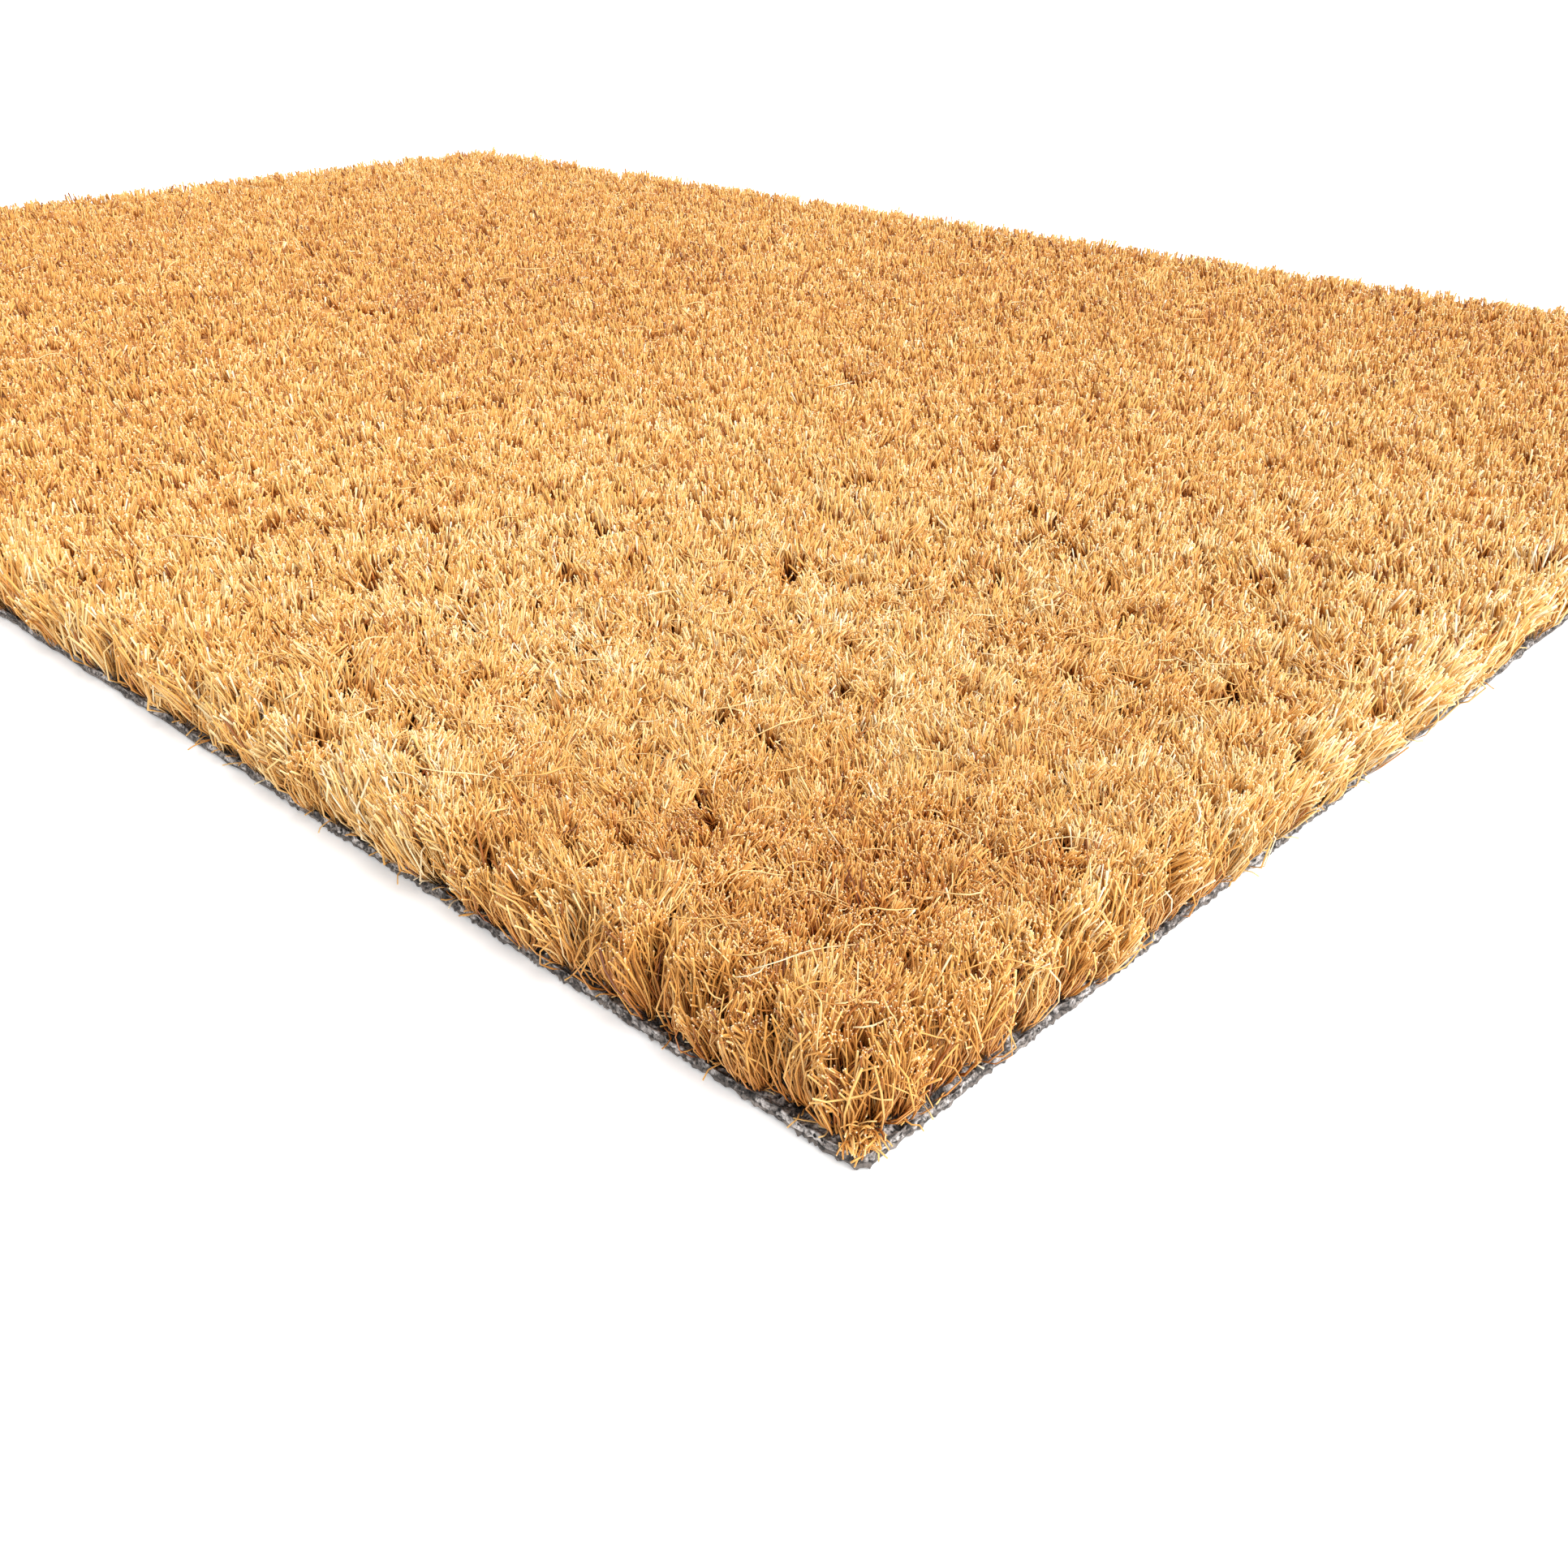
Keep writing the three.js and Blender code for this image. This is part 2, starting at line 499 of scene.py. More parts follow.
def foamRim(s):
    # The edge profile carried round the outline: up the cut side, over the lumpy rim and in under the
    # pile. It has inset, height and how much lumps and pores move it.
    along = edgeStations(backing)
    place, out = outlineAt(along, halfMat, backing["cornerRadius"])
    bottom, top = foamLow[2], foamHigh[2]
    profile = [(4 * mm, bottom, 0), (1.2 * mm, bottom, 0)]
    sideFrom, sideTo = len(profile), len(profile) + s["sideRings"] - 1
    profile += [(0, bottom + (top - bottom) * k, 1) for k in np.linspace(0, 1, s["sideRings"])]
    profile += [(inset, top, 1) for inset in np.arange(0.35, s["width"] / mm, s["step"] / mm) * mm]
    profile += [(s["width"] + 1 * mm, top, 0)]
    inset, height, rough = (np.array(c)[:, None] for c in zip(*profile))
    travel = np.concatenate([[0], np.cumsum(np.hypot(np.diff(inset[:, 0]), np.diff(height[:, 0])))])
    x, y = np.meshgrid(along, travel)
    level = np.zeros_like(y)
    lumps = layered(x, y, s["lumps"])
    cut = layered(x, level, s["cutWaves"]) + layered(x, y, s["cutGrain"])
    pore = np.maximum(pits(x, y, s["largePores"], 16), 0.8 * pits(x, y, s["smallPores"], 17)) * rough
    upSide = (y - travel[sideFrom]) / (travel[sideTo] - travel[sideFrom])
    onTop = smoothStep((y - travel[sideTo]) / s["rounding"])
    atEdge = np.exp(-((inset / s["cutReach"]) ** 2))
    bulge = s["bulge"] * (1 - onTop) * np.sin(math.pi * upSide)
    inward = s["cutDepth"] * cut * atEdge + s["poreDepth"] * pore * (1 - onTop) + bulge
    inward = inset + inward * mm * rough
    rise = (lumps - pore - s["drop"] * atEdge) * s["relief"] * onTop * mm * rough
    rings = np.empty((*x.shape, 3))
    rings[..., :2] = place - out * inward[..., None]
    rings[..., 2] = height + rise
    points, triangles = ringSolid(rings)
    # the pit mark lets the finish paint the pits dark as shade
    marks = {"pit": pore.ravel()}
    return addMesh("foam_backing", points, triangles, "grey_foam", "backing_foam", marks=marks)


nicks = {
    "ribCell": 0.75 * mm,  # of the underside's ribs, where they come out at the edge
    "ribDepth": 0.42,  # in mm
    "ribOnSide": 0.3,  # of that depth that they keep all the way up the side
    "waves": [(5 * mm, 0.5, 13), (1.1 * mm, 0.4, 22)],  # of the cut: cell, share and seed of each layer
    "waveDepth": 0.25,  # in mm
    "gap": 0.02 * mm,  # between the skin and the foam
}


def skinSheet(s):
    # A thin sheet whose lower edge is nicked by the ribs of the underside, with a crease under the foam.
    along = edgeStations(backing)
    place, out = outlineAt(along, halfMat, backing["cornerRadius"])
    bottom, top = skinLow[2], foamLow[2] - s["gap"]
    profile = [  # inset, height, how much the nicks move it
        (9 * mm, bottom, 0),
        (2.4 * mm, bottom, 0.3),
        (0.7 * mm, bottom, 1),
        (0.12 * mm, bottom + 0.1 * mm, 1),
        (0, bottom + 0.35 * mm, 0.6),
        (0, bottom + 0.7 * mm, 0.3),
        (0.25 * mm, top - 0.22 * mm, 0),
        (0.75 * mm, top - 0.06 * mm, 0),
        (3 * mm, top, 0),
    ]
    inset, height, rough = (np.array(c)[:, None] for c in zip(*profile))
    x, y = np.meshgrid(along, height)
    level = np.zeros_like(y)
    ribs = np.abs(patches(x, level, s["ribCell"], 21)) ** 0.7
    cut = layered(x, level, s["waves"])
    inward = s["waveDepth"] * cut + s["ribDepth"] * ribs * (s["ribOnSide"] + rough)
    inward = inset + inward * mm * (inset < 2 * mm)
    rings = np.empty((*x.shape, 3))
    rings[..., :2] = place - out * inward[..., None]
    rings[..., 2] = height + s["ribDepth"] * ribs * rough * mm
    points, triangles = ringSolid(rings)
    return addMesh("non_slip_skin", points, triangles, "dark_pvc", "backing_skin")


foam = foamRim(rim)
skin = skinSheet(nicks)
print("backing", [len(o.data.polygons) for o in (foam, skin)])


felt = {
    "cell": 4.4 * mm,
    "setIn": 1.5 * mm,  # from the pile's own outline
    "nearTop": 7.6 * mm,
    "farTop": 13.2 * mm,
    "rises": (60 * mm, 220 * mm),  # from the near top to the far one, by distance from the near corner
    "sideSlope": 8 * mm,
    "sideTop": 0.3,  # of its height that it keeps at the sides
    "lump": 1.3 * mm,
    "lumpCell": 4.4 * mm,
    # Painted shade: how pale the slab is at least, and what a lump and a far place add, so the hollows
    # and the near corner stay dark.
    "paintedShade": (-0.1, 0.18, 0.26),  # how pale it is at least, and what a lump and a far place add
}


def nearness(x, y):
    return np.hypot(x - nearCorner[0], y - nearCorner[1])


def feltSlab(s):
    # A height field over the pile's floor, lumpy at the tufts' pitch and lower at the sides, closed by
    # its sides and a flat bottom. Its painted shade mark is higher, and so paler, on the lumps and far
    # from the corner, and lower, so darker, in the hollows and near the corner.
    half = halfPile - s["setIn"]
    nx, ny = (int(2 * h / s["cell"]) for h in half)
    x, y = np.meshgrid(np.linspace(-half[0], half[0], nx), np.linspace(-half[1], half[1], ny))
    start, end = s["rises"]
    far = smoothStep((nearness(x, y) - start) / (end - start))
    lump = patches(x, y, s["lumpCell"], 31)
    top = s["nearTop"] + (s["farTop"] - s["nearTop"]) * far + s["lump"] * lump
    fromSide = np.minimum(half[0] - np.abs(x), half[1] - np.abs(y))
    kept = s["sideTop"] + (1 - s["sideTop"]) * smoothStep(fromSide / s["sideSlope"])
    top = pileLow[2] + (top - pileLow[2]) * kept
    under = np.full_like(top, pileLow[2])
    points = np.concatenate([np.stack([x, y, z], -1).reshape(-1, 3) for z in (top, under)])
    index = np.arange(nx * ny).reshape(ny, nx)
    a, b, c, d = index[:-1, :-1], index[:-1, 1:], index[1:, 1:], index[1:, :-1]
    cap = np.concatenate([
        np.stack([a, b, c], -1).reshape(-1, 3),
        np.stack([a, c, d], -1).reshape(-1, 3),
    ])
    border = np.concatenate([index[0, :-1], index[:-1, -1], index[-1, :0:-1], index[:0:-1, 0]])
    after = np.roll(border, -1)
    below = nx * ny
    walls = np.concatenate([
        np.stack([border + below, after + below, after], 1),
        np.stack([border + below, after, border], 1),
    ])
    triangles = np.concatenate([cap, cap[:, ::-1] + below, walls])
    least, onLump, whenFar = s["paintedShade"]
    paintedShade = (onLump * lump + whenFar * far + least).ravel()
    marks = {"lump": np.tile(paintedShade, 2)}
    return addMesh("matted_pile", points, triangles, "coir", "coir_pile", marks=marks)


matted = feltSlab(felt)
matted.data.materials[0] = feltMaterial
print("matted pile", len(matted.data.polygons))


toneSteps = 96  # tones that bristles are sorted into on their map
mapMargin = 0.01  # on the map before the root
mapLength = 0.94  # of the whole bristle on the map
mostTriangles = 190000  # of one piece


def rods(name, root, facing, step, across, shares, thickness, tone, roll, flatness):
    # Each rod is a point at its root, goes facing[k] * step[k] on its stretch k, and is swept as a
    # three-sided rod to a flat cut end, a little thicker and thinner in turn. shares[k] is how far along
    # the whole fibre the stretch k starts. across is a direction that the rod never takes, and flatness
    # squashes the rod on one side. The map has one band for each tone, and the cut end lies past the tip.
    stretches, count = len(facing), len(root)
    points = np.empty((count, 1 + 3 * stretches, 3))
    points[:, 0] = place = root
    corner = roll[:, None] + np.arange(3) * (2 * math.pi / 3)
    for k in range(stretches):
        place = place + facing[k] * step[k][:, None]
        heading = unit(facing[k] + facing[min(k + 1, stretches - 1)])
        side = unit(np.cross(across, heading))
        up = np.cross(heading, side) * flatness
        radius = (thickness * (0.5 + 0.05 * math.sin(5 * k)))[:, None, None]
        around = np.cos(corner)[..., None] * side[:, None] + np.sin(corner)[..., None] * up[:, None]
        points[:, 3 * k + 1:3 * k + 4] = place[:, None] + radius * around

    faces, along, tall = [], [], []
    height = (0.1, 0.5, 0.9)
    for j in range(3):
        n = (j + 1) % 3
        faces.append((0, 1 + n, 1 + j))
        along.append((shares[0], shares[1], shares[1]))
        tall.append((0.5, height[n], height[j]))
    for k in range(1, stretches):
        a, b = 3 * k - 2, 3 * k + 1
        for j in range(3):
            n = (j + 1) % 3
            faces += [(a + j, a + n, b + n), (a + j, b + n, b + j)]
            along += [(shares[k], shares[k], shares[k + 1]), (shares[k], shares[k + 1], shares[k + 1])]
            tall += [(height[j], height[n], height[n]), (height[j], height[n], height[j])]
    last = 3 * stretches - 2
    faces.append((last, last + 1, last + 2))
    along.append((1.02, 1.035, 1.05))
    tall.append(height)
    triangles = np.array(faces)[None] + (np.arange(count) * points.shape[1])[:, None, None]
    band = np.clip((tone * toneSteps).astype(int), 0, toneSteps - 1)
    uv = np.empty((count, len(faces), 3, 2))
    uv[..., 0] = mapMargin + np.array(along)[None] * mapLength
    uv[..., 1] = (band[:, None, None] + np.array(tall)[None]) / toneSteps
    return addMesh(name, points.reshape(-1, 3), triangles.reshape(-1, 3), "coir", "coir_pile",
                   uv=uv.reshape(-1, 2))


def facingAt(t, slope, bend, droop):
    # unit(slope (0.4 + 1.2 t) + bend (2 t - 1), 1 - droop t^2), with slope and bend level
    level = slope * (0.4 + 1.2 * t) + bend * (2 * t - 1)
    return unit(np.column_stack([level, 1 - droop * t * t]))


def bristles(root, slope, bend, droop, length, thickness, tone, stations, shares, rng):
    # The rods between the stations, which are shares of the length. What lies below the first one is
    # skipped. shares are the places on the map that the first and the last station take.
    skipped = [facingAt(t * stations[0], slope, bend, droop) for t in (0.25, 0.75)]
    root = root + (skipped[0] + skipped[1]) / 2 * (stations[0] * length)[:, None]
    middles = [(a + b) / 2 for a, b in zip(stations, stations[1:])]
    return dict(
        root=root,
        facing=np.array([facingAt(t, slope, bend, droop) for t in middles]),
        step=np.diff(stations)[:, None] * length,
        across=unit(np.column_stack([-slope[:, 1], slope[:, 0], np.full(len(root), 1e-6)])),
        shares=np.interp(stations, (stations[0], 1), shares),
        thickness=thickness,
        tone=tone,
        roll=rng.uniform(0, 2 * math.pi, len(root)),
    )


tufts = {
    "seed": 5,
    "pitch": 4.3 * mm,
    "scatter": 0.65 * mm,
    "foot": 1.5 * mm,  # a tuft's radius at its root
    "top": (1.6 * mm, 2.1 * mm),  # and at its top, by the near corner and in the field
    "topReach": (50, 200),  # mm from the near corner between which it goes from one to the other
    "girth": (0.82, 1.12),  # of one tuft against another
    "lift": (0.2 * mm, 0.5 * mm),  # middle and spread of how much taller a tuft is
    "dome": 2.1 * mm,  # how much lower its outer tips are
    "lean": (0.08, 0.09, 0.09),  # slope that a tuft of the rows and of the field leans by, at random
    "drift": 0.03,  # slope that neighbouring tufts share
    "driftCell": 18 * mm,
    "bow": 0.15,  # bend that a tuft's bristles share
    "stray": (0.07, 0.08, 0.08),  # slope that each bristle adds
    "bend": (0.34, 0.28, 0.22),
    "bundles": 4,  # that a tuft's bristles gather in
    "gather": 0.45,  # a bundle's width at the top against the bottom
    "bundleLean": 0.12,  # slope, bend, height and tone that a bundle's bristles share
    "bundleBend": 0.26,
    "bundleLift": 0.45 * mm,
    "bundleTone": 0.045,
    "bristleLift": 0.4 * mm,
    "bristleTone": 0.15,
    "tone": 0.05,
    "tonePatches": [(30 * mm, 0.04, 43), (9 * mm, 0.06, 44)],  # cell, share and seed of each layer
    # Painted shade and light by distance from the near corner: tone lowest by the corner, where the tufts
    # are deep in shade, lower again far off and higher between.
    "paintedShadeByDistance": ((20, -0.11), (85, 0.09), (160, 0.06), (350, -0.10)),  # mm from the near corner, tone added
    # The rows on the +X edge, the wall that faces the sun, are painted paler as painted light; the other
    # edge rows add a little tone.
    "rowToneAndPaintedLight": (0.02, 0.07),  # tone that the two edge rows add, and those of the +X edge
    "dark": (0.02, 0.06),  # share of bristles that are dark, and their tone
    "wild": 0.13,  # share of bristles that bend three times as much
    "rootDepth": 0.4 * mm,  # in the foam
    "longest": (1.05, 0.2),  # a bristle's length against its height, and how much is added by row
    "rowFoot": 1.5 * mm,
    "rowTop": 1.85 * mm,
    "rowInset": (1.8 * mm, 5.5 * mm),  # of the two rows that follow the outline
    "rowPitch": 3.7 * mm,
    "rowDepth": 3.6 * mm,  # of one row, and from the second row to the field
    "rowJitter": 0.28,  # of the pitch, along the row
    "rowScatter": 0.3 * mm,  # and across it
    "rowRadius": 4 * mm,
    "rowLean": (0.05, 0.03, 0),
    "brushed": (0.20, 0.12, 0),  # and more along the +X edge, away from the near corner
    "brushedReach": (25 * mm, 85 * mm),  # from none to all of it
    "low": 0.3,  # share of the outer row's tufts that are low and stand further out
    "lowHeight": (0.6, 0.95),
    "lowLean": 0.14,
    "lowOut": 0.8 * mm,
    "splay": 0.34,  # slope that the outermost bristles lean out by, up to this
    "curl": 0.22,  # and bend out by, up to this
    "droop": 0.7,  # and droop by, up to this, one in four of them
    "short": 0.6,  # and are shorter by, up to this share
    "cornerSetBack": 1.1 * mm,  # how much further in the rows stand at the near corner
    "setBackReach": 45 * mm,
}
byDistance = {  # from the near corner, in mm: how many bristles a square mm has, and their width in mm
    "distance": (0, 50, 85, 120, 160, 220, 300, 450, 720),
    "density": (8.2, 7.0, 4.4, 2.9, 1.9, 1.4, 0.88, 0.50, 0.43),
    "width": (0.25, 0.26, 0.30, 0.36, 0.42, 0.50, 0.58, 0.70, 0.74),
}


def plantTufts(s):
    # Two rows round the outline and, inside them, a jittered grid with every second line shifted by half
    # a pitch. Each tuft has what its bristles share.
    rng = np.random.default_rng(s["seed"])
    middles, outs, rows = [], [], []
    for row, inset in enumerate(s["rowInset"]):
        half = halfMat - inset
        length = outlineLength(half, s["rowRadius"])
        number = round(length / s["rowPitch"])
        jitter = rng.uniform(-s["rowJitter"], s["rowJitter"], number)
        along = (np.arange(number) + 0.5 + jitter) * length / number
        place, out = outlineAt(along, half, s["rowRadius"])
        setBack = s["cornerSetBack"] * np.exp(-((nearness(*place.T) / s["setBackReach"]) ** 2))
        place = place - out * (setBack + rng.normal(0, s["rowScatter"], number))[:, None]
        middles.append(place)
        outs.append(out)
        rows.append(np.full(number, row))
    half = halfMat - s["rowInset"][1] - s["rowDepth"]
    columns, lines = (int(round(2 * h / s["pitch"])) for h in half)
    x, y = np.meshgrid(np.linspace(-half[0], half[0], columns), np.linspace(-half[1], half[1], lines))
    x[1::2] += 0.5 * s["pitch"]
    grid = np.stack([x, y], -1).reshape(-1, 2)
    grid = np.clip(grid + rng.uniform(-1, 1, grid.shape) * s["scatter"], -half, half)
    middle = np.concatenate([*middles, grid])
    out = np.concatenate([*outs, np.zeros_like(grid)])
    row = np.concatenate([*rows, np.full(len(grid), 2)])
    count = len(middle)
    x, y = middle.T
    drift = np.stack([patches(x, y, s["driftCell"], seed) for seed in (41, 42)], 1)
    lean = rng.normal(0, 1, (count, 2)) * np.array(s["lean"])[row][:, None] + s["drift"] * drift
    low = (row == 0) & (rng.uniform(0, 1, count) < s["low"])
    start, end = s["brushedReach"]
    onPlusX = (out[:, 0] > 0.9) * smoothStep((nearness(x, y) - start) / (end - start))
    brushed = np.array(s["brushed"])[row] * onPlusX
    outward = (np.array(s["rowLean"])[row] + brushed) * rng.uniform(0.1, 1.5, count) + low * s["lowLean"]
    tone = rng.normal(0, s["tone"], count) + layered(x, y, s["tonePatches"])
    # a little tone for the edge rows, and more as painted light on the sunlit +X edge
    tone = tone + (row < 2) * np.where(out[:, 0] > 0.7, s["rowToneAndPaintedLight"][1], s["rowToneAndPaintedLight"][0])
    return {
        "middle": middle + out * (low * s["lowOut"])[:, None],
        "out": out,
        "row": row,
        "tall": np.where(low, rng.uniform(*s["lowHeight"], count), 1),
        "bow": rng.normal(0, s["bow"], (count, 2)),
        "lean": lean + out * outward[:, None],
        "girth": rng.uniform(*s["girth"], count),
        "lift": rng.normal(*s["lift"], count),
        "tone": tone,
        "near": nearness(x, y) / mm,
    }


def growTufts(s, grown, chosen, density, stations, shares, seed):
    # The bristles of the chosen tufts. Roots and tips lie on discs, and the tips on a dome too. A quarter
    # of the disc is a bundle, whose tips are drawn together and share some lean, bend, height and tone.
    rng = np.random.default_rng(seed)
    girth = grown["girth"][chosen]
    area = np.where(grown["row"][chosen] < 2, s["rowPitch"] * s["rowDepth"], s["pitch"] ** 2) / mm ** 2
    usual = np.interp(grown["near"][chosen], byDistance["distance"], byDistance["density"])
    want = density * usual * area * girth ** 2
    number = np.floor(want + rng.uniform(0, 1, want.size)).astype(int)
    tuft = np.repeat(np.flatnonzero(chosen), number)
    count = tuft.size
    angle = rng.uniform(0, 2 * math.pi, count)
    reach = np.sqrt(rng.uniform(0, 1, count))
    disc = np.stack([np.cos(angle), np.sin(angle)], 1) * reach[:, None]
    bundle = (angle / (2 * math.pi) * s["bundles"]).astype(int)
    shared = rng.normal(0, 1, (len(grown["row"]), s["bundles"], 6))[tuft, bundle]
    towards = 2 * math.pi * (bundle + 0.5) / s["bundles"]
    heart = 0.62 * np.stack([np.cos(towards), np.sin(towards)], 1)  # the bundle's middle on the disc
    girth = grown["girth"][tuft][:, None]
    out, row = grown["out"][tuft], grown["row"][tuft]
    footRadius = np.where(row < 2, s["rowFoot"], s["foot"])[:, None] * girth
    fieldTop = np.interp(grown["near"][tuft], s["topReach"], s["top"])
    topRadius = np.where(row < 2, s["rowTop"], fieldTop)[:, None] * girth
    foot = grown["middle"][tuft] + disc * footRadius
    fullHeight = (pileHigh[2] - foamHigh[2]) * grown["tall"][tuft]
    facesOut = np.clip((disc * out).sum(1), 0, 1) * (row == 0)
    tip = (heart + (disc - heart) * s["gather"]) * topRadius
    fan = (tip - disc * footRadius) / fullHeight[:, None]
    slope = grown["lean"][tuft] + fan + s["bundleLean"] * shared[:, :2]
    slope = slope + rng.normal(0, 1, (count, 2)) * np.array(s["stray"])[row][:, None]
    slope = slope + out * (facesOut * rng.uniform(0, s["splay"], count))[:, None]
    wild = np.where(rng.uniform(0, 1, count) < s["wild"], 3, 1) * np.array(s["bend"])[row]
    bend = grown["bow"][tuft] + s["bundleBend"] * shared[:, 2:4]
    bend = bend + rng.normal(0, 1, (count, 2)) * wild[:, None]
    bend = bend + out * (facesOut * rng.uniform(0, s["curl"], count))[:, None]
    droop = facesOut * rng.uniform(0, s["droop"], count) * (rng.uniform(0, 1, count) < 0.25)
    height = fullHeight + grown["lift"][tuft] - s["dome"] * reach ** 2 + s["bundleLift"] * shared[:, 4]
    height = height + rng.normal(0, s["bristleLift"], count)
    rise = np.mean([facingAt(t, slope, bend, droop)[:, 2] for t in (0.1, 0.3, 0.5, 0.7, 0.9)], 0)
    length = np.minimum(height / rise, (s["longest"][0] + s["longest"][1] * row) * fullHeight)
    length = length * (1 - facesOut * rng.uniform(0, s["short"], count))
    # painted shade and light by distance from the near corner
    tone = 0.5 + np.interp(grown["near"][tuft], *zip(*s["paintedShadeByDistance"])) + grown["tone"][tuft]
    tone = tone + s["bundleTone"] * shared[:, 5] + rng.normal(0, s["bristleTone"], count)
    tone = np.clip(tone, 0.02, 0.98)
    darkShare, darkTone = s["dark"]
    tone[rng.uniform(0, 1, count) < darkShare] = darkTone
    width = np.interp(grown["near"][tuft], byDistance["distance"], byDistance["width"]) * mm
    width = width * rng.uniform(0.7, 1.3, count)
    root = np.column_stack([foot, np.full(count, foamHigh[2] - s["rootDepth"])])
    return bristles(root, slope, bend, droop, length, width, tone, stations, shares, rng)


def inPieces(name, grown, flatness=1.0):
    # Cuts the rods into pieces, in strips of the mat.
    stretches, count = grown["facing"].shape[:2]
    each = 6 * stretches - 2  # triangles: 3 at the root, 6 for each further stretch and 1 at the tip
    parts = math.ceil(count * each / mostTriangles)
    order = np.argsort(grown["root"][:, 1] - grown["root"][:, 0], kind="stable")
    for k, share in enumerate(np.array_split(order, parts)):
        own = {key: grown[key][share] for key in ("root", "across", "thickness", "tone", "roll")}
        own["facing"], own["step"] = grown["facing"][:, share], grown["step"][:, share]
        rods(f"{name}_{k + 1}" if parts > 1 else name, shares=grown["shares"], flatness=flatness, **own)
    print(name, count, "fibres", count * each, "triangles in", parts)


planted = plantTufts(tufts)
near, row = planted["near"], planted["row"]
# Each zone has its name, its tufts, its density against the table, the stations along its bristles and
# the places of the first and last one on the map, which set how much painted root shade shows. near is in
# mm.
zones = [
    ("edge_row_corner", (row == 0) & (near < 70), 1.1, (0, 0.25, 0.5, 0.76, 1), (0.6, 1)),
    ("edge_row_near", (row == 0) & (near >= 70) & (near < 200), 2.0, (0, 0.34, 0.68, 1), (0.74, 1)),
    ("edge_row_far", (row == 0) & (near >= 200), 3.2, (0, 0.5, 1), (0.56, 1)),
    ("second_row_near", (row == 1) & (near < 200), 0.95, (0.15, 0.6, 1), (0.34, 1)),
    ("second_row_far", (row == 1) & (near >= 200), 2.4, (0.3, 1), (0.2, 1)),
    ("tufts_corner", (row == 2) & (near < 52), 1.15, (0.45, 0.68, 0.85, 1), (0, 0.9)),
    ("tufts_middle", (row == 2) & (near >= 52) & (near < 160), 1.08, (0.5, 0.77, 1), (0.14, 1)),
    ("tufts_field", (row == 2) & (near >= 160), 1.0, (0.5, 1), (0.2, 1)),
]
for order, (name, *own) in enumerate(zones):
    inPieces(name, growTufts(tufts, planted, *own, 100 + order))


clump = {
    "seed": 61,
    "fibres": 110,
    "inset": 2.3 * mm,  # of its middle from both edges
    "radius": 1.0 * mm,
    "length": (2.0 * mm, 5.5 * mm),
    "width": (0.17, 0.27),  # in mm
    "outward": 0.35,
    "turned": 0.9,  # how much more it leans along +X
    "spread": 0.3,  # slope that each fibre adds
    "bend": 0.9,
    "bendOut": 0.2,
    "droop": (0.6, 2.9),
    "tone": (0.5, 0.16),  # middle and spread
    "rootDepth": 0.3 * mm,
}


def cornerClump(s):
    # A low curly tuft of short fibres pushed out over the tip of the near corner.
    rng = np.random.default_rng(s["seed"])
    count = s["fibres"]
    spread = rng.normal(0, 1, (count, 2))
    away = np.array([1 + s["turned"], -1]) / math.sqrt(2)
    foot = nearCorner - s["inset"] * np.sign(nearCorner) + spread * s["radius"] * 0.6
    root = np.column_stack([foot, np.full(count, foamHigh[2] - s["rootDepth"])])
    slope = away * s["outward"] * rng.uniform(0.2, 1.5, (count, 1)) + spread * s["spread"]
    bend = rng.normal(0, s["bend"], (count, 2)) + away * s["bendOut"]
    droop = rng.uniform(*s["droop"], count)
    length = rng.uniform(*s["length"], count)
    width = rng.uniform(*s["width"], count) * mm
    tone = np.clip(rng.normal(*s["tone"], count), 0.05, 0.98)
    stations = (0, 0.2, 0.4, 0.6, 0.8, 1)
    return bristles(root, slope, bend, droop, length, width, tone, stations, (0.5, 1), rng)


inPieces("corner_clump", cornerClump(clump))


scatter = {
    "reach": 130 * mm,  # of the near ones from the near corner
    "gather": 0.6,  # below 1, fewer of them lie close to the corner's tip
    "inset": 6 * mm,  # of the others from the pile's outline
    "clear": 4 * mm,  # of all of them
}


def scattered(rng, count, nearCount, s):
    # Places on the pile: the first nearCount within reach of the near corner, the others anywhere.
    angle = rng.uniform(0, math.pi / 2, nearCount)
    away = s["reach"] * rng.uniform(0, 1, nearCount) ** s["gather"]
    close = nearCorner + np.stack([-np.cos(angle), np.sin(angle)], 1) * away[:, None]
    spread = rng.uniform(-1, 1, (count - nearCount, 2)) * (halfPile - s["inset"])
    return np.clip(np.concatenate([close, spread]), -halfPile + s["clear"], halfPile - s["clear"])


def alongEdge(rng, count, reach, inset, radius):
    # Places on an outline set in from the mat's own: half of them within this reach of the near corner
    # along it, the others all the way round.
    half = halfMat - inset
    length = outlineLength(half, radius)
    along = reach * rng.uniform(-1, 1, count)
    along[count // 2:] = length * rng.uniform(-0.5, 0.5, count - count // 2)
    return outlineAt(along % length, half, radius)


